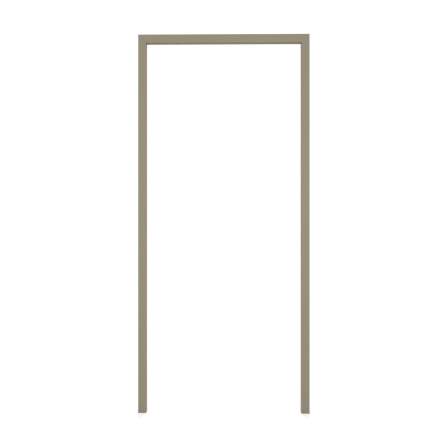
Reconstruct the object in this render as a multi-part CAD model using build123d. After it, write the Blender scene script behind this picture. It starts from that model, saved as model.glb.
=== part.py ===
"""A uPVC door frame: two jambs and a head, cut from one hollow rebated extrusion.

The frame stands on the floor, centred on x = 0 and y = 0, with +Z up. Its flush side faces -Y. Its
rebate side, where a leaf would close, faces +Y. All sizes are in millimetres.

The section is drawn in its own two directions: u runs from the wall towards the doorway, and v runs
from the rebate side of the frame to the flush side.
"""

import os

from build123d import *

# Overall size of the frame, outside to outside
frame_width = 950.0
frame_height = 2100.0

# Outline of the extrusion
rebate_depth = 30.0
stop_depth = 25.0
stop_height = 15.0
arris_radius = 1.2
nose_radius = 3.0
root_radius = 0.6

# Walls and hollows of the extrusion
outer_wall = 2.2
inner_web = 1.4
rebate_hollow = 4.0
hollow_bevel = 0.6

# Groove that each corner weld is scraped back to, on the faces that show
groove_depth = 0.3
groove_width = 0.8

# Channel along the wall side, which screw heads sink into
channel_depth = 3.0
lip_width = 4.5
lip_thickness = 1.2

# Steel tube in each member, held off the chamber walls by nibs
tube_size = 19.0
tube_wall = 1.0
tube_bevel = 1.0
tube_clearance = 0.3
nib_height = 1.5
nib_width = 1.2
nib_inset = 2.5
tube_foot_gap = 5.0
tube_corner_gap = 12.0

# Corner bracket, an L of smaller square tube that slides into the tubes with some play
bracket_play = 2.0
bracket_wall = 1.2
bracket_bevel = 0.8
bracket_arm = 110.0
bracket_clearance = 0.05

# Self-drilling screws, driven from the wall side, with flat heads and eight-sided bars for threads
screw_radius = 2.1
screw_sides = 8
screw_clearance = 0.1
screw_length = 13.0
screw_point = 4.0
screw_point_angle = 20.0
screw_head_radius = 3.8
screw_head_height = 2.3
bracket_screw_inset = 18.0
foot_screw_height = 80.0

# Holes for the screws that fix the frame to the wall
fixing_hole_radius = 3.25
access_hole_radius = 5.5
jamb_fixings = 4
jamb_fixing_inset = 200.0
head_fixings = 2
head_fixing_spacing = 400.0

# Slot in the stop, and the weather seal pressed into it
slot_offset = 6.0
slot_mouth = 3.0
slot_lip = 1.5
slot_width = 5.0
slot_depth = 2.5
slot_wall = 1.2
seal_clearance = 0.15
seal_shoulder = 0.8
seal_overhang = 0.2
seal_side = 0.8
seal_bulb_radius = 3.0
seal_skin = 0.7

# Places across the section that follow from the sizes above
base_inner = channel_depth + outer_wall
tube_near = base_inner + nib_height + tube_clearance
tube_axis = tube_near + tube_size / 2
chamber_end = tube_near + tube_size + tube_clearance + nib_height
rebate_wall = chamber_end + outer_wall
section_face = rebate_wall + stop_height
slot_axis = rebate_wall + slot_offset

# Places through the depth of the section
section_depth = rebate_depth + stop_depth
steel_from = outer_wall + rebate_hollow + inner_web
tube_depth_axis = steel_from + tube_clearance + tube_size / 2
steel_to = tube_depth_axis + tube_size / 2 + tube_clearance
flush_hollow_from = steel_to + inner_web

# The bracket is drawn up against the wall side of the tube's bore by its screws
bracket_size = tube_size - 2 * tube_wall - bracket_play
bracket_near = tube_near + tube_wall + bracket_clearance
bracket_axis = bracket_near + bracket_size / 2

# Where the square-cut tubes end at a mitred corner, measured from the outer corner
tube_end = tube_near + tube_size + tube_corner_gap
bracket_end = bracket_near + bracket_arm

# Planes of the left jamb's section, looking down it, and of the head's, looking from right to left
jamb_plane = Plane(
    origin=(-frame_width / 2, section_depth / 2, frame_height),
    x_dir=(1, 0, 0),
    z_dir=(0, 0, -1),
)
head_plane = Plane(
    origin=(frame_width / 2, section_depth / 2, frame_height),
    x_dir=(0, 0, -1),
    z_dir=(-1, 0, 0),
)

# Planes that the two mitres are cut on
mitre_plane = Plane(origin=(-frame_width / 2, 0, frame_height), z_dir=(1, 0, 1))
right_mitre_plane = Plane(origin=(frame_width / 2, 0, frame_height), z_dir=(-1, 0, 1))


def spread(first, last, count):
    """Evenly spaced places from first to last, both included."""
    return [first + (last - first) * i / (count - 1) for i in range(count)]


def halfway(places):
    """The place midway between each pair of neighbours in a row of places."""
    return [(low + high) / 2 for low, high in zip(places, places[1:])]


# Places down the jamb from its top, and along the head from its middle
jamb_fixing_places = spread(jamb_fixing_inset, frame_height - jamb_fixing_inset, jamb_fixings)
jamb_screw_places = halfway(jamb_fixing_places) + [frame_height - foot_screw_height]
head_fixing_places = spread(-head_fixing_spacing / 2, head_fixing_spacing / 2, head_fixings)
head_screw_places = halfway(head_fixing_places)

# Distances of the bracket screws from the outer corner, the same along both arms
bracket_screw_places = [tube_end + bracket_screw_inset, bracket_end - bracket_screw_inset]


def block(u0, u1, v0, v1):
    """A plain rectangle of the section."""
    return Pos((u0 + u1) / 2, (v0 + v1) / 2) * Rectangle(u1 - u0, v1 - v0)


def hollow(u0, u1, v0, v1):
    """One hollow of the section between four walls, with eased corners."""
    opening = block(u0, u1, v0, v1)
    return chamfer(opening.vertices(), hollow_bevel)


def ease(sketch, corners, radius):
    """Round the named corners of a flat outline."""
    picked = [sketch.vertices().sort_by_distance((u, v, 0))[0] for u, v in corners]
    return fillet(picked, radius)


def frame_section():
    """The extrusion's section: an L outline, its hollows, nibs, wall channel and seal slot."""
    outline = Polyline(
        (0, 0),
        (rebate_wall, 0),
        (rebate_wall, rebate_depth),
        (section_face, rebate_depth),
        (section_face, section_depth),
        (0, section_depth),
        close=True,
    )
    section = make_face(outline)
    section = ease(section, [(rebate_wall, 0), (section_face, rebate_depth)], arris_radius)
    section = ease(section, [(section_face, section_depth)], nose_radius)
    section = ease(section, [(rebate_wall, rebate_depth)], root_radius)

    # The wall channel is undercut behind two lips
    flush_leg = section_depth - outer_wall
    section -= block(lip_thickness, channel_depth, outer_wall, flush_leg)
    section -= block(0, lip_thickness, outer_wall + lip_width, flush_leg - lip_width)

    # Hollows: one by the rebate side, one for the steel, one by the flush side, and the stop's
    section -= hollow(base_inner, chamber_end, outer_wall, outer_wall + rebate_hollow)
    section -= hollow(base_inner, chamber_end, steel_from, steel_to)
    section -= hollow(base_inner, chamber_end, flush_hollow_from, flush_leg)
    section -= hollow(rebate_wall, section_face - outer_wall, rebate_depth + outer_wall, flush_leg)

    # Nibs that keep the steel tube off the walls
    for v in (-1, 1):
        nib_v = tube_depth_axis + v * (tube_size / 2 - nib_inset)
        near, far = nib_v - nib_width / 2, nib_v + nib_width / 2
        section += block(base_inner, base_inner + nib_height, near, far)
        section += block(chamber_end - nib_height, chamber_end, near, far)

    # The seal slot in its housing, open on the face of the stop
    slot_floor = rebate_depth + slot_lip + slot_depth
    half = slot_width / 2
    section += block(slot_axis - half - slot_wall, slot_axis + half + slot_wall,
                     rebate_depth + outer_wall / 2, slot_floor + slot_wall)
    section -= block(slot_axis - half, slot_axis + half, rebate_depth + slot_lip, slot_floor)
    section -= block(slot_axis - slot_mouth / 2, slot_axis + slot_mouth / 2,
                     rebate_depth, rebate_depth + slot_lip)
    return section


def square_tube_section(u_axis, size, wall, bevel):
    """The section of a square steel tube on the middle line of the reinforcing chamber."""
    outside = chamfer(Rectangle(size, size).vertices(), bevel)
    bore = size - 2 * wall
    return Pos(u_axis, tube_depth_axis) * (outside - Rectangle(bore, bore))


def bulb_shape(radius, base):
    """The bulb's outline at one radius: a half disc towards the leaf, and straight sides to its base."""
    centre = rebate_depth - seal_shoulder - seal_side
    sides = block(slot_axis - radius, slot_axis + radius, centre, base)
    crown = block(slot_axis - radius, slot_axis + radius, centre - radius, centre)
    return sides + (crown & Pos(slot_axis, centre) * Circle(radius))


def seal_section():
    """The weather seal: a barbed foot in the slot, a flat shoulder and a hollow bulb."""
    neck = slot_mouth / 2 - seal_clearance
    barb = slot_width / 2 - seal_clearance
    barb_from = rebate_depth + slot_lip + seal_clearance
    foot_to = rebate_depth + slot_lip + slot_depth - seal_clearance
    shoulder_from = rebate_depth - seal_shoulder
    half = seal_bulb_radius + seal_overhang
    foot = make_face(Polyline(
        (slot_axis - barb, barb_from),
        (slot_axis + barb, barb_from),
        (slot_axis + neck, foot_to),
        (slot_axis - neck, foot_to),
        close=True,
    ))
    foot += block(slot_axis - neck, slot_axis + neck, rebate_depth, barb_from)
    shoulder = block(slot_axis - half, slot_axis + half, shoulder_from, rebate_depth)
    bulb = bulb_shape(seal_bulb_radius, shoulder_from)
    bulb -= bulb_shape(seal_bulb_radius - seal_skin, shoulder_from)
    return foot + shoulder + bulb


def jamb_length(section):
    """The left jamb's full length of a section, mitred at the top."""
    bar = extrude(jamb_plane * section, frame_height)
    return split(bar, bisect_by=mitre_plane, keep=Keep.BOTTOM)


def head_length(section):
    """The head's full length of a section, mitred at both ends."""
    bar = extrude(head_plane * section, frame_width)
    bar = split(bar, bisect_by=mitre_plane, keep=Keep.TOP)
    return split(bar, bisect_by=right_mitre_plane, keep=Keep.TOP)


def weld_groove(member_plane, cut_plane):
    """What is scraped off a member along one mitre, over all of its outline but the wall side."""
    reach = section_face + section_depth
    flush_floor = section_depth - groove_depth
    scraped = block(-reach, reach, -reach, reach)
    scraped -= block(-reach, rebate_wall - groove_depth, groove_depth, flush_floor)
    scraped -= block(-reach, section_face - groove_depth, rebate_depth + groove_depth, flush_floor)
    bar = extrude(member_plane * scraped, frame_width)
    return bar & cut_plane * Box(4 * reach, 4 * reach, groove_width)


def across(outline, u0, u1, taper=0):
    """A bar of an outline, laid along u on the line of the screws, from one place to another."""
    return Pos(u0, tube_depth_axis, 0) * Rot(0, 90, 0) * extrude(outline, u1 - u0, taper=taper)


def on_jamb(piece, places):
    """Copies of a piece of the section's own directions, at places down the left jamb."""
    return [jamb_plane * Pos(0, 0, place) * piece for place in places]


def on_head(piece, places):
    """The same at places along the head, measured from its middle."""
    return [head_plane * Pos(0, 0, frame_width / 2 - place) * piece for place in places]


def screw():
    """A self-drilling screw with its head seated on the floor of the wall channel."""
    point = channel_depth + screw_length - screw_point
    bar = RegularPolygon(screw_radius, screw_sides)
    whole = across(Circle(screw_head_radius), channel_depth - screw_head_height, channel_depth)
    whole += across(bar, channel_depth, point)
    return whole + across(bar, point, point + screw_point, screw_point_angle)


def corner_bracket():
    """The left corner bracket: two arms of square tube, mitred and welded into an L."""
    section = square_tube_section(bracket_axis, bracket_size, bracket_wall, bracket_bevel)
    upright = jamb_length(section)
    level = extrude(head_plane * section, frame_width)
    level = split(level, bisect_by=mitre_plane, keep=Keep.TOP)
    reach = frame_width + frame_height
    keep_high = Pos(0, 0, frame_height - bracket_end + reach / 2) * Box(reach, reach, reach)
    keep_left = Pos(bracket_end - frame_width / 2 - reach / 2, 0, 0) * Box(reach, reach, 2 * reach)
    return (upright + level) & keep_high & keep_left


def mirrored(shape):
    """The same piece on the right-hand side of the frame."""
    return mirror(shape, about=Plane.YZ)


# Hollow extrusions, drilled for the wall fixings and for the screws that hold the steel
section = frame_section()
screw_hole = RegularPolygon(screw_radius + screw_clearance, screw_sides)
wall_fixing = across(Circle(fixing_hole_radius), 0, tube_axis)
access = across(Circle(access_hole_radius), tube_axis, section_face)
frame_screw_hole = across(screw_hole, 0, tube_near)

left_jamb = jamb_length(section) - weld_groove(jamb_plane, mitre_plane)
for hole in on_jamb(wall_fixing, jamb_fixing_places) + on_jamb(access, jamb_fixing_places):
    left_jamb -= hole
for hole in on_jamb(frame_screw_hole, jamb_screw_places + bracket_screw_places):
    left_jamb -= hole

head = head_length(section)
for cut_plane in (mitre_plane, right_mitre_plane):
    head -= weld_groove(head_plane, cut_plane)
corner_left = [place - frame_width / 2 for place in bracket_screw_places]
corner_right = [-place for place in corner_left]
for hole in on_head(wall_fixing, head_fixing_places) + on_head(access, head_fixing_places):
    head -= hole
for hole in on_head(frame_screw_hole, head_screw_places + corner_left + corner_right):
    head -= hole

# Steel tubes, cut square, with a screw hole through the wall side only
tube_section = square_tube_section(tube_axis, tube_size, tube_wall, tube_bevel)
steel_screw_hole = across(screw_hole, 0, tube_axis)
steel_fixing_hole = across(Circle(fixing_hole_radius), 0, section_face)

tube_height = frame_height - tube_end - tube_foot_gap
left_jamb_reinforcement = Pos(0, 0, -tube_end) * extrude(jamb_plane * tube_section, tube_height)
for hole in on_jamb(steel_fixing_hole, jamb_fixing_places):
    left_jamb_reinforcement -= hole
for hole in on_jamb(steel_screw_hole, jamb_screw_places + bracket_screw_places):
    left_jamb_reinforcement -= hole

tube_span = frame_width - 2 * tube_end
head_reinforcement = Pos(-tube_end, 0, 0) * extrude(head_plane * tube_section, tube_span)
for hole in on_head(steel_fixing_hole, head_fixing_places):
    head_reinforcement -= hole
for hole in on_head(steel_screw_hole, head_screw_places + corner_left + corner_right):
    head_reinforcement -= hole

# Corner brackets, drilled on the wall side of each arm
left_corner_bracket = corner_bracket()
for hole in on_jamb(steel_screw_hole, bracket_screw_places) + on_head(steel_screw_hole, corner_left):
    left_corner_bracket -= hole

# Weather seals, mitred with the extrusion they sit in
seal = seal_section()
left_seal = jamb_length(seal)
head_seal = head_length(seal)

# Screws, one group to each member and to each corner
left_jamb_screws = Compound(on_jamb(screw(), jamb_screw_places))
head_screws = Compound(on_head(screw(), head_screw_places))
left_bracket_screws = Compound(
    on_jamb(screw(), bracket_screw_places) + on_head(screw(), corner_left))

pieces = {
    "left_jamb": left_jamb,
    "right_jamb": mirrored(left_jamb),
    "head": head,
    "left_jamb_reinforcement": left_jamb_reinforcement,
    "right_jamb_reinforcement": mirrored(left_jamb_reinforcement),
    "head_reinforcement": head_reinforcement,
    "left_corner_bracket": left_corner_bracket,
    "right_corner_bracket": mirrored(left_corner_bracket),
    "left_seal": left_seal,
    "right_seal": mirrored(left_seal),
    "head_seal": head_seal,
    "left_jamb_screws": left_jamb_screws,
    "right_jamb_screws": mirrored(left_jamb_screws),
    "head_screws": head_screws,
    "left_bracket_screws": left_bracket_screws,
    "right_bracket_screws": mirrored(left_bracket_screws),
}

os.makedirs("parts", exist_ok=True)
for name, shape in pieces.items():
    export_step(shape, f"parts/{name}.step")
    volume = sum(solid.volume for solid in shape.solids())
    print(f"{name}: {len(shape.solids())} solids, {volume:.0f} mm3")
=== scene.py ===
import math

import bmesh
import bpy
import numpy as np
from mathutils.geometry import tessellate_polygon
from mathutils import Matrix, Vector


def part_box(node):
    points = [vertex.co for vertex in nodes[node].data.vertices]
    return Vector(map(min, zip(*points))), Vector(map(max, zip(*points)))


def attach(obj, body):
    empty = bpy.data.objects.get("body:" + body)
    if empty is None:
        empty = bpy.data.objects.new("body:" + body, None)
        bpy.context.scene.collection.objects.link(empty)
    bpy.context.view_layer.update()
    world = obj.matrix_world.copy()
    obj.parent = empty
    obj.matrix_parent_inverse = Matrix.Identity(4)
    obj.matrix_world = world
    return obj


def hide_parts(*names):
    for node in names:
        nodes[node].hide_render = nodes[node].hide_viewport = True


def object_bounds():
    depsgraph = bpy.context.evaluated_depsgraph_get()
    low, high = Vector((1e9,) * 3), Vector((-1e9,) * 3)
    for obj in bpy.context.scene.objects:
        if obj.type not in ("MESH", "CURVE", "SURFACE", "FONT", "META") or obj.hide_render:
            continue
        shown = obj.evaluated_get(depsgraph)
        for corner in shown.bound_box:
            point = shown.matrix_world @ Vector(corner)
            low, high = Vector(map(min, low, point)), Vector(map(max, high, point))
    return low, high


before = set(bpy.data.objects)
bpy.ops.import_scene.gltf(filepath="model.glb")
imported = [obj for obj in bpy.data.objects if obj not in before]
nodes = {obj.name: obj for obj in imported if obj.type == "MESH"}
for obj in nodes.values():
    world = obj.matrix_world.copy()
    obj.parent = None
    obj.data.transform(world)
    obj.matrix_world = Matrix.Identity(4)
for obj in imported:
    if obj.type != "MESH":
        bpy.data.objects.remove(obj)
cad_low, cad_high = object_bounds()

# Jambs and head.
# One hollow extrusion of rigid vinyl, coloured through in a satin greige, cut to three lengths and welded
# at the mitres. The die leaves fine lines along each length, and the knife that cleans a weld leaves a
# groove with a dull band on each side of it.
mm = 0.001
half_width = cad_high.x
height = cad_high.z
rebate_side = cad_high.y

# Across a member, u runs from the wall to the doorway, and v from the rebate side to the flush side
section_low, section_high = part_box("left_jamb")
section_face = section_high.x - section_low.x
section_depth = section_high.y - section_low.y
stop_height = 15 * mm
stop_depth = 25 * mm
rebate_wall = section_face - stop_height
rebate_depth = section_depth - stop_depth

drawn_out = 0.004
fine_line = 0.7 * mm
broad_line = 4.2 * mm
gloss_cloud = 170 * mm
grain_size = 0.45 * mm
rub_width = 0.9 * mm
rub_drawn_out = 0.05
rub_patch = 60 * mm
# Widths of the bands along the arrises that are polished and carry a painted highlight
polished_highlit_arris = 0.9 * mm
polished_highlit_nose = 1.8 * mm
weld_groove = 0.45 * mm
scraped_band = 2.2 * mm
sawn_skin = 0.05 * mm
saw_radius = 210 * mm
saw_pitch = 2.6 * mm
upvc_dark = (0.295, 0.258, 0.180, 1)
upvc_light = (0.322, 0.281, 0.198, 1)
upvc_seam = (0.235, 0.208, 0.155, 1)
upvc_sawn = (0.420, 0.392, 0.322, 1)
# A paler tone, for rubs from handling and for the painted highlight along the arrises
upvc_rubbed_and_highlight = (0.345, 0.310, 0.238, 1)


class Field:
    """A value that varies over a surface. Arithmetic on fields adds the Math nodes that work it out."""

    def __init__(self, tree, socket=None):
        self.tree = tree
        self.socket = socket

    def node(self, kind, settings, inputs, output=0):
        """One more node: its settings are made first, then its sockets are linked or given values."""
        made = self.tree.nodes.new("ShaderNode" + kind)
        for name, value in settings.items():
            setattr(made, name, value)
        for name, value in inputs.items():
            if isinstance(value, Field):
                self.tree.links.new(value.socket, made.inputs[name])
            else:
                made.inputs[name].default_value = value
        return Field(self.tree, made.outputs[output])

    def maths(self, operation, *others):
        """This field, and any others after it, through one Math node."""
        return self.node("Math", {"operation": operation}, dict(enumerate((self, *others))))

    def __add__(self, other):
        return self.maths("ADD", other)

    def __radd__(self, other):
        return self.maths("ADD", other)

    def __sub__(self, other):
        return self.maths("SUBTRACT", other)

    def __rsub__(self, other):
        return self.maths("MULTIPLY_ADD", -1.0, other)

    def __mul__(self, other):
        return self.maths("MULTIPLY", other)

    def __rmul__(self, other):
        return self.maths("MULTIPLY", other)

    def __pow__(self, other):
        return self.maths("POWER", other)

    def __abs__(self):
        return self.maths("ABSOLUTE")

    def falls(self, near, far):
        """A mask: 1 where the field is under near, easing to 0 where it is over far."""
        sockets = {"Value": self, "From Min": near, "From Max": far, "To Min": 1.0, "To Max": 0.0}
        return self.node("MapRange", {"interpolation_type": "SMOOTHSTEP"}, sockets)

    def rises(self, near, far):
        """The opposite mask: 0 under near, easing to 1 over far."""
        return 1 - self.falls(near, far)

    def parts(self):
        """The x, y and z of this vector."""
        split = self.node("SeparateXYZ", {}, {0: self}).socket.node
        return [Field(self.tree, socket) for socket in split.outputs]

    def noise(self, across, detail=1.0):
        """Smooth noise about zero, from -0.5 to 0.5, read at this vector, in cells of a given size across."""
        return self.node("TexNoise", {}, {"Vector": self, "Scale": 1 / across, "Detail": detail}) - 0.5


def vector(x, y, z):
    """A vector made of three fields."""
    return x.node("CombineXYZ", {}, {"X": x, "Y": y, "Z": z})


def tint(mask, without, within):
    """One colour where the mask is 0 and another where it is 1."""
    return mask.node("Mix", {"data_type": "RGBA"}, {0: mask, 6: without, 7: within}, 2)


def new_finish(name, steady):
    """A material with its steady values set on its shader, and the place on the surface as a field."""
    material = bpy.data.materials.new(name)
    material.use_nodes = True
    shader = material.node_tree.nodes["Principled BSDF"]
    for socket, value in steady.items():
        shader.inputs[socket].default_value = value
    return material, Field(material.node_tree).node("TexCoord", {}, {}, "Object")


def apply_finish(material, colour, roughness, relief):
    """Link what varies to the shader: the colour, the roughness, and the relief in mm as its bump."""
    shader = material.node_tree.nodes["Principled BSDF"]
    normal = relief.node("Bump", {}, {"Height": relief, "Distance": mm, "Strength": 1.0})
    for socket, field in (("Base Color", colour), ("Roughness", roughness), ("Normal", normal)):
        material.node_tree.links.new(field.socket, shader.inputs[socket])
    return material


def upvc(name, upright):
    """Satin vinyl for the jambs or for the head, with its die lines along the length."""
    material, place = new_finish(name, {"IOR": 1.52, "Specular IOR Level": 0.22})
    x, y, z = place.parts()
    from_side = half_width - abs(x)
    from_top = height - z
    u, along = (from_side, z) if upright else (from_top, x)
    v = rebate_side - y

    # Fine and broad die lines, slow clouds of gloss, a fine grain, and short rubs from handling, in patches
    drawn = vector(u, v, along * drawn_out)
    fine = drawn.noise(fine_line, 2.0)
    broad = drawn.noise(broad_line)
    cloud = place.noise(gloss_cloud, 2.0)
    grain = place.noise(grain_size)
    rubbed = vector(u, v, along * rub_drawn_out).noise(rub_width, 2.0).rises(0.12, 0.18)
    rubbed = rubbed * place.noise(rub_patch).rises(0.04, 0.14)

    # Outer arrises, polished by handling and lightened in colour as a painted highlight: two sharp ones, and
    # the rounded nose of the stop
    def arris(at_u, at_v, near):
        from_arris = ((u - at_u) ** 2 + (v - at_v) ** 2) ** 0.5
        return from_arris.falls(near, near * 2)

    polish_and_painted_highlight = (arris(rebate_wall, 0.0, polished_highlit_arris) + arris(section_face, rebate_depth, polished_highlit_arris)
            + arris(section_face, section_depth, polished_highlit_nose))

    # The scraped groove at the weld, the dull band beside it, and the sawn foot with its arcs of teeth
    off_mitre = abs(from_side - from_top)
    seam = off_mitre.falls(weld_groove, weld_groove * 1.5)
    scraped = off_mitre.falls(scraped_band, scraped_band * 1.5)
    sawn = z.falls(sawn_skin, sawn_skin * 5)
    from_arbor = ((u - section_face / 2) ** 2 + (v + saw_radius) ** 2) ** 0.5
    teeth = (from_arbor * (2 * math.pi / saw_pitch)).maths("SINE")

    shade = 0.5 + cloud * 0.9 + broad * 0.6 + fine * 0.8 + grain * 0.4
    colour = tint(shade, upvc_dark, upvc_light)
    colour = tint(rubbed * 0.35, colour, upvc_rubbed_and_highlight)
    # Painted highlight: the arrises are lightened in colour, while their lower roughness below is real polish
    colour = tint(polish_and_painted_highlight * 0.35, colour, upvc_rubbed_and_highlight)
    colour = tint(seam * 0.8, colour, upvc_seam)
    colour = tint(sawn, colour, upvc_sawn)
    roughness = (0.50 + cloud * 0.12 + broad * 0.10 + fine * 0.12 + grain * 0.08 - polish_and_painted_highlight * 0.07
                 + rubbed * 0.12 + scraped * 0.14 + sawn * 0.3)
    relief = (fine * 0.012 + broad * 0.030 + grain * 0.005 + cloud * 0.5 - rubbed * 0.004
              - seam * 0.05 + sawn * teeth * 0.01)
    return apply_finish(material, colour, roughness, relief)


upvc_upright = upvc("upvc_upright", True)
upvc_level = upvc("upvc_level", False)
for name, material in (("left_jamb", upvc_upright), ("right_jamb", upvc_upright), ("head", upvc_level)):
    nodes[name].material_slots[0].material = material


# Steel in the chambers.
# Cold-rolled square tube, slid into each length before welding, and an L of smaller tube in each
# corner. Both are hot-dip galvanised, with spangles that each take the light their own way.
tube_spangle = 9 * mm
bracket_spangle = 6 * mm
bloom_patch = 110 * mm
zinc_dark = (0.46, 0.48, 0.50, 1)
zinc_light = (0.70, 0.72, 0.74, 1)
zinc_bloom = (0.80, 0.81, 0.81, 1)


def galvanised(name, spangle):
    """Zinc-coated steel, with spangles of a given size across and patches of pale bloom."""
    material, place = new_finish(name, {"Metallic": 1.0})
    cells = {"Vector": place, "Scale": 1 / spangle}
    shade = place.node("SeparateColor", {}, {0: place.node("TexVoronoi", {}, cells, "Color")})
    edge = place.node("TexVoronoi", {"feature": "DISTANCE_TO_EDGE"}, cells)
    feather = place.noise(spangle / 5, 3.0)
    bloom = place.noise(bloom_patch, 3.0).rises(0.04, 0.24)
    rim = edge.falls(0.02, 0.09)

    colour = tint(shade * 0.8 + feather * 0.5, zinc_dark, zinc_light)
    colour = tint(0.15 + bloom * 0.45, colour, zinc_bloom)
    roughness = 0.38 + shade * 0.16 + rim * 0.1 + bloom * 0.18
    return apply_finish(material, colour, roughness, feather * 0.01 - rim * 0.012)


tube_steel = galvanised("tube_steel", tube_spangle)
bracket_steel = galvanised("bracket_steel", bracket_spangle)
for name in ("left_jamb_reinforcement", "right_jamb_reinforcement", "head_reinforcement"):
    nodes[name].material_slots[0].material = tube_steel
for name in ("left_corner_bracket", "right_corner_bracket"):
    nodes[name].material_slots[0].material = bracket_steel


# Screws.
# Self-drilling pan heads in bright zinc, driven from the wall side: four up each jamb and one in the
# head hold the tubes, and four at each corner hold the bracket. The heads sit in the wall channel.
screws_low, screws_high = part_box("left_jamb_screws")
screw_line = (screws_low.y + screws_high.y) / 2
screw_head_radius = (screws_high.y - screws_low.y) / 2
screw_head_top = screws_low.x + half_width
screw_tip = screws_high.x + half_width
channel_floor = 3.0 * mm
dome_fall = 0.7 * mm
cross_depth = 1.3 * mm
cross_reach = 2.0 * mm
cross_half = 0.62 * mm
cross_slope = 0.2 * mm
thread_pitch = 1.4 * mm
thread_root = 1.6 * mm
thread_crest = 2.1 * mm
point_length = 4.0 * mm
thread_end = screw_tip - point_length
crease_angle = math.radians(35)
tarnish_patch = 1.1 * mm
scuff_size = 0.25 * mm
bright_zinc_dark = (0.55, 0.57, 0.60, 1)
bright_zinc_light = (0.76, 0.78, 0.81, 1)

# Jamb screws lie midway between the wall fixings, with one more near the foot. Corner screws lie at the
# two ends of the length that tube and bracket share, the same along both arms.
foot_screw_height = 80 * mm
fixing_inset = 200 * mm
jamb_fixings = 4
corner_screw_inset = 18 * mm
fixing_heights = np.linspace(fixing_inset, height - fixing_inset, jamb_fixings)
jamb_screw_heights = [foot_screw_height, *((fixing_heights[1:] + fixing_heights[:-1]) / 2)]
tube_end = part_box("head_reinforcement")[0].x + half_width
bracket_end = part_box("left_corner_bracket")[1].x + half_width
corner_screw_places = np.array([tube_end + corner_screw_inset, bracket_end - corner_screw_inset])


def screw_surface(turns=36):
    """The screw's surface as arrays of depth u and of p and q across it, on a grid of profile and angle.

    The head is a dome whose depth grows with the fourth power of the radius, with a cross sunk into it: the
    greater of two arms, each a clipped ramp off its own middle line. The thread's radius is the root's, plus
    the height of the crest times a wave of (depth / pitch - angle / turn). The drill point's radius falls
    as 1 - share^2, less a share of cos^2 for its two flutes.
    """
    angle = np.linspace(0, 2 * math.pi, turns, endpoint=False)[None, :]
    share = np.linspace(0.02, 1, 15)[:, None]
    dome_r = screw_head_radius * share + 0 * angle
    dome_u = screw_head_top + dome_fall * share ** 4 + 0 * angle
    p, q = dome_r * np.cos(angle), dome_r * np.sin(angle)

    def arm(along, off):
        ends = np.clip((cross_reach - abs(along)) / (cross_slope * 3), 0, 1)
        return ends * np.clip((cross_half - abs(off)) / cross_slope, 0, 1)

    dome_u = dome_u + cross_depth * np.maximum(arm(p, q), arm(q, p))

    rim = np.linspace(0, 1, 5)[1:, None]
    rim_from = screw_head_top + dome_fall
    rim_r = screw_head_radius + 0 * rim + 0 * angle
    rim_u = rim_from + (channel_floor - rim_from) * rim + 0 * angle

    depth = np.arange(channel_floor, thread_end, thread_pitch / 8)[:, None]
    wave = 1 - abs(2 * np.mod(depth / thread_pitch - angle / (2 * math.pi), 1) - 1)
    bar_r = thread_root + (thread_crest - thread_root) * wave ** 1.5
    bar_u = depth + 0 * angle

    point = np.linspace(0, 0.97, 9)[:, None]
    point_r = thread_root * (1 - point ** 2) * (1 - 0.35 * np.cos(angle + point) ** 2)
    point_u = thread_end + point_length * point + 0 * angle

    r = np.concatenate([dome_r, rim_r, bar_r, point_r])
    u = np.concatenate([dome_u, rim_u, bar_u, point_u])
    return u, r * np.cos(angle), r * np.sin(angle)


def grid_faces(rows, columns):
    """The four-sided faces of a grid that closes on itself across its columns."""
    first = np.arange(rows - 1)[:, None] * columns
    here = np.arange(columns)[None, :]
    after = (here + 1) % columns
    quads = [first + here, first + after, first + columns + after, first + columns + here]
    return np.stack(quads, axis=-1).reshape(-1, 4)


def new_piece(name, points, faces, material):
    """One mesh with its faces pointing outwards and shaded smooth up to a crease, put on the frame."""
    mesh = bpy.data.meshes.new(name)
    mesh.from_pydata(points, [], faces)
    loose = bmesh.new()
    loose.from_mesh(mesh)
    bmesh.ops.recalc_face_normals(loose, faces=loose.faces)
    loose.to_mesh(mesh)
    loose.free()
    mesh.shade_smooth()
    mesh.set_sharp_from_angle(angle=crease_angle)
    mesh.materials.append(material)
    piece = bpy.data.objects.new(name, mesh)
    bpy.context.scene.collection.objects.link(piece)
    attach(piece, "root")
    return piece


def stacked(grids):
    """Several grids of points as one mesh: its points, its faces, and the first and last row of each grid."""
    points, faces, firsts, lasts, count = [], [], [], [], 0
    for grid in grids:
        rows, columns = grid.shape[:2]
        row = np.arange(columns) + count
        points.append(grid.reshape(-1, 3))
        faces += (grid_faces(rows, columns) + count).tolist()
        firsts.append(row)
        lasts.append(row + (rows - 1) * columns)
        count += rows * columns
    return np.concatenate(points), faces, firsts, lasts


def turned_piece(name, grids, material):
    """One piece from grids of points, each filled with a face at both ends."""
    points, faces, firsts, lasts = stacked(grids)
    faces += [row.tolist() for row in firsts + lasts]
    return new_piece(name, points, faces, material)


screw_zinc, place = new_finish("screw_zinc", {"Metallic": 1.0})
tarnish = place.noise(tarnish_patch, 3.0)
scuff = place.noise(scuff_size)
bright_zinc = tint(0.5 + tarnish * 1.6, bright_zinc_dark, bright_zinc_light)
apply_finish(screw_zinc, bright_zinc, 0.30 + tarnish * 0.25 + scuff * 0.1, scuff * 0.01)


def driven_screws(name, uprights, levels, side):
    """Screws at heights up one jamb and at places along the head, for side -1 or 1, in a node's place."""
    u, p, q = screw_surface()
    y = screw_line + p
    up_jamb = [np.stack([side * (half_width - u), y, q + z], axis=-1) for z in uprights]
    along_head = [np.stack([q + x, y, height - u], axis=-1) for x in levels]
    driven = turned_piece(name + "_turned", up_jamb + along_head, screw_zinc)
    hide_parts(name)


for side, hand in ((-1, "left"), (1, "right")):
    driven_screws(hand + "_jamb_screws", jamb_screw_heights, [], side)
    down = height - corner_screw_places
    inwards = side * (half_width - corner_screw_places)
    driven_screws(hand + "_bracket_screws", down, inwards, side)
driven_screws("head_screws", [], [0.0], 1)


# Weld beads.
# Where two lengths are pressed together hot, the vinyl rolls out along the joint. It is scraped off the
# faces that show, and left as a curled bead on the floor of the wall channel at each upper corner.
outer_wall = 2.2 * mm
bead_radius = 1.0 * mm
curl_height = 0.45 * mm
bead_waver = 0.10 * mm
flow_line = 1.4 * mm


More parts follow.
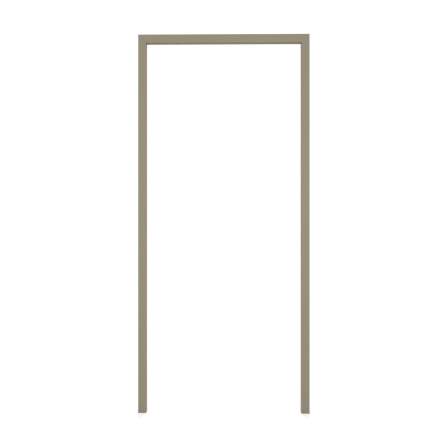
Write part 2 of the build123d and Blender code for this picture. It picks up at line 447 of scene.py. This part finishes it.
def bead_surface(side, rows=72, columns=28):
    """A rounded bar along y on the channel's outer corner, as a grid of place along it and angle round it.

    Its radius is that of the bead, plus the height of a curl times |sin| of the angle from the mitre for the
    two curls, plus three slow sine waves along the bar.
    """
    share = np.linspace(0, 1, rows)[:, None]
    angle = np.linspace(0, 2 * math.pi, columns, endpoint=False)[None, :]
    waves = np.sin(31 * share) + 0.6 * np.sin(73 * share + 1) + 0.4 * np.sin(139 * share + 2)
    radius = bead_radius + curl_height * abs(np.sin(angle)) + bead_waver * waves
    outwards = radius * np.cos(angle)
    across = radius * np.sin(angle)
    x = half_width - channel_floor + (outwards - across) / math.sqrt(2)
    z = height - channel_floor + (outwards + across) / math.sqrt(2)
    y = rebate_side - outer_wall - (section_depth - 2 * outer_wall) * share + 0 * angle
    return np.stack([side * x, y, z], axis=-1)


melted_upvc, place = new_finish("melted_upvc", {"IOR": 1.52})
flow = place.noise(flow_line, 2.0)
apply_finish(melted_upvc, tint(0.5 + flow, upvc_seam, upvc_light), 0.34 + flow * 0.3, flow * 0.15)
for side, hand in ((-1, "left"), (1, "right")):
    turned_piece(hand + "_weld_bead", [bead_surface(side)], melted_upvc)


# Weather seals.
# A length of colour-matched soft rubber in the slot of each stop: a hollow bulb on a flat shoulder, with
# a barbed foot pushed in by hand, so it wanders by a tenth of a millimetre. Mitred at the corners.
seal_low, seal_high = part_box("left_seal")
slot_axis = (seal_low.x + seal_high.x) / 2 + half_width
shoulder_half = (seal_high.x - seal_low.x) / 2
shoulder_from = rebate_depth - 0.8 * mm
neck_half = 1.35 * mm
barb_half = 2.35 * mm
barb_from = rebate_depth + 1.65 * mm
foot_to = rebate_side - seal_low.y
bulb_radius = shoulder_half - 0.2 * mm
bulb_skin = 0.7 * mm
bulb_centre = rebate_side - seal_high.y + bulb_radius
hollow_base = shoulder_from - 0.05 * mm
seal_waver = 0.10 * mm
seal_drawn_out = 0.006
seal_line = 0.4 * mm
seal_bloom = 25 * mm
seal_grain = 0.2 * mm
seal_dark = (0.290, 0.258, 0.196, 1)
seal_light = (0.340, 0.306, 0.236, 1)


def bulb_row(radius, base, points):
    """The bulb's outline at one radius, from base on one side, round the crown, to base on the other."""
    angle = np.linspace(0, math.pi, points)
    a = np.concatenate([[radius], radius * np.cos(angle), [-radius]])
    v = np.concatenate([[base], bulb_centre - radius * np.sin(angle), [base]])
    return np.stack([a, v], axis=-1)


def seal_rows():
    """The seal's outside and its hollow, each a closed row of places across the slot and in depth."""
    half_foot = np.array([
        (shoulder_half, shoulder_from),
        (shoulder_half, rebate_depth),
        (neck_half, rebate_depth),
        (neck_half, barb_from),
        (barb_half, barb_from),
        (neck_half, foot_to),
    ])
    foot = np.concatenate([half_foot * (-1, 1), half_foot[::-1]])
    outside = np.concatenate([foot, bulb_row(bulb_radius, shoulder_from, 25)])
    return outside, bulb_row(bulb_radius - bulb_skin, hollow_base, 19)


def along_member(member, row, share):
    """A row of the section carried along a member, to each share of the length at that depth from the wall.

    The bulb wanders by sine waves of the share, times how far a point stands out from the shoulder.
    """
    a, v = row[:, 0][None, :], row[:, 1][None, :]
    waver = seal_waver * np.clip((shoulder_from - v) / (bulb_centre - v.min()), 0, 1)
    u = slot_axis + a + waver * np.sin(37 * share + 2) * np.sin(11 * share)
    v = v + waver * 0.8 * (np.sin(53 * share) + np.sin(23 * share + 1))
    if member == "head":
        x, z = (2 * share - 1) * (half_width - u), height - u
    else:
        side = -1 if member == "left" else 1
        x, z = side * (half_width - u), share * (height - u)
    return np.stack([x, rebate_side - v, z], axis=-1)


def swept_seal(member, material, stations=150):
    """The seal's outside and hollow swept along a member, and joined by the same cut face at both ends."""
    share = np.linspace(0, 1, stations)[:, None]
    rows = seal_rows()
    points, faces, firsts, lasts = stacked([along_member(member, row, share) for row in rows])
    cut = np.array(tessellate_polygon([row.tolist() for row in rows]))
    for end in (firsts, lasts):
        faces += np.concatenate(end)[cut].tolist()
    seal = new_piece(member + "_seal_bulb", points, faces, material)
    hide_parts(member + "_seal")


def rubber(name, upright):
    """Matte soft rubber with drawn lines along its length and a faint bloom."""
    material, place = new_finish(name, {"IOR": 1.45, "Specular IOR Level": 0.3})
    x, y, z = place.parts()
    u, along = (half_width - abs(x), z) if upright else (height - z, x)
    drawn = vector(u, y, along * seal_drawn_out).noise(seal_line, 2.0)
    bloom = place.noise(seal_bloom, 3.0)
    grain = place.noise(seal_grain)
    colour = tint(0.5 + bloom * 1.1 + drawn * 0.5, seal_dark, seal_light)
    roughness = 0.72 + bloom * 0.2 + grain * 0.08
    return apply_finish(material, colour, roughness, drawn * 0.012 + grain * 0.004)


rubber_upright = rubber("rubber_upright", True)
rubber_level = rubber("rubber_level", False)
for member, material in (("left", rubber_upright), ("right", rubber_upright), ("head", rubber_level)):
    swept_seal(member, material)


# Floor.
# A plain pale floor that shows as white to the camera and in reflections, and still keeps the frame's
# soft shadow: its glow makes up what its grey and the light leave short of white.
floor_reach = 14.0
floor_grey = (0.55, 0.55, 0.55, 1)
floor_roughness = 0.95
floor_glow = 0.56


def looked_at_by(tree, kind):
    """1 for a ray of one kind, such as one straight from the camera, and 0 for any other."""
    return Field(tree).node("LightPath", {}, {}, f"Is {kind} Ray")


def in_reflections(tree):
    """1 for a ray that was reflected by gloss or that came through glass, and 0 for any other."""
    return looked_at_by(tree, "Glossy").maths("MAXIMUM", looked_at_by(tree, "Transmission"))


floor_mesh = bpy.data.meshes.new("floor")
floor_corners = np.array([(-1, -1, 0), (1, -1, 0), (1, 1, 0), (-1, 1, 0)]) * floor_reach
floor_mesh.from_pydata(floor_corners, [], [(0, 1, 2, 3)])
floor = bpy.data.objects.new("floor", floor_mesh)
bpy.context.scene.collection.objects.link(floor)
floor_paint = bpy.data.materials.new("floor_paint")
floor_paint.use_nodes = True
floor_tree = floor_paint.node_tree
floor_shader = floor_tree.nodes["Principled BSDF"]
floor_shader.inputs["Base Color"].default_value = floor_grey
floor_shader.inputs["Roughness"].default_value = floor_roughness
floor_shader.inputs["Specular IOR Level"].default_value = 0.0
floor_shader.inputs["Emission Strength"].default_value = floor_glow
seen = looked_at_by(floor_tree, "Camera") + in_reflections(floor_tree)
floor_tree.links.new(seen.socket, floor_shader.inputs["Emission Color"])
floor_mesh.materials.append(floor_paint)


# Light.
# Even studio light all round, a round soft box behind the camera at two thirds of the frame's height,
# and a broad soft sun from behind and above for the rebate side, which leaves no glare on the returns.
flush_side = cad_low.y
world_level = 0.65
white_level = 1.1
box_share = 0.34
box_distance = 4.0
box_height = 1.35
box_across = 1.2
sun_share = 0.50
sun_tilt = math.radians(50)
sun_spread = math.radians(50)

world = bpy.data.worlds.new("studio")
bpy.context.scene.world = world
world.use_nodes = True
sky_tree = world.node_tree
sky = sky_tree.nodes["Background"]
sky.inputs["Color"].default_value = (1, 1, 1, 1)
level = (world_level + in_reflections(sky_tree) * (1 - world_level)
         + looked_at_by(sky_tree, "Camera") * (white_level - world_level))
sky_tree.links.new(level.socket, sky.inputs["Strength"])

box_light = bpy.data.lights.new("soft_box", "AREA")
box_light.shape = "DISK"
box_light.size = box_across
box_light.energy = box_share * (math.pi * box_distance) ** 2
soft_box = bpy.data.objects.new("soft_box", box_light)
bpy.context.scene.collection.objects.link(soft_box)
soft_box.location = (0, flush_side - box_distance, box_height)
soft_box.rotation_euler = (math.radians(90), 0, 0)

sun_light = bpy.data.lights.new("back_sun", "SUN")
sun_light.energy = sun_share * math.pi
sun_light.angle = sun_spread
back_sun = bpy.data.objects.new("back_sun", sun_light)
bpy.context.scene.collection.objects.link(back_sun)
back_sun.rotation_euler = (sun_tilt, 0, math.radians(180))
back_sun.visible_glossy = False


# Camera.
# Level, at the middle of the frame's height and a little to its right, close up with a wide lens.
camera_distance = 1.92
camera_right = 15.8 * mm
camera_up = 1.4 * mm
camera_turn = math.radians(0.5)
focal_length = 27.93
film_width = 36
lens = bpy.data.cameras.new("camera")
lens.sensor_width = film_width
lens.lens = focal_length
camera = bpy.data.objects.new("camera", lens)
bpy.context.scene.collection.objects.link(camera)
camera.location = (camera_right, flush_side - camera_distance, height / 2 + camera_up)
camera.rotation_euler = (math.radians(90), 0, camera_turn)
bpy.context.scene.camera = camera
bpy.context.scene.view_settings.view_transform = "Standard"
